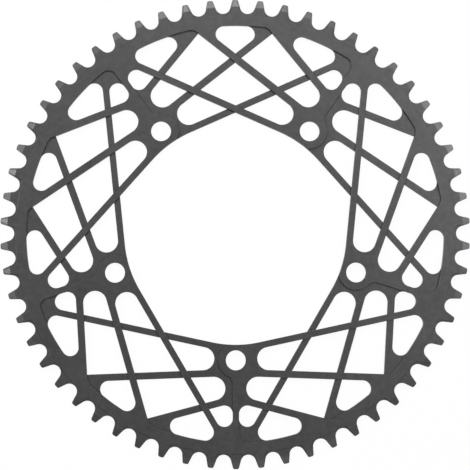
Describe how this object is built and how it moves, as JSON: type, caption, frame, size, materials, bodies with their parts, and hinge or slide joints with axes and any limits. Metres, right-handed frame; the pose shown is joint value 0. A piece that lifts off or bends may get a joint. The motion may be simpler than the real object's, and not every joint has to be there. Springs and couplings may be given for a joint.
{
  "type": "bicycle chainring",
  "caption": "Flat toothed ring that drives a bicycle chain, with bolt pads and a lattice of crossing struts around a large open centre.",
  "frame": {"origin": "centre of the ring, on its back face", "axes": "+Z along the ring's axis, out of the front face; +Y through a wide tooth and the middle of a lattice sector, up in the picture; +X to the right in the picture"},
  "size_m": [0.241, 0.2412, 0.0036],
  "materials": {
    "anodised_plate": "satin dark grey anodised"
  },
  "bodies": {
    "root": {"chainring": "anodised_plate"}
  },
  "joints": []
}
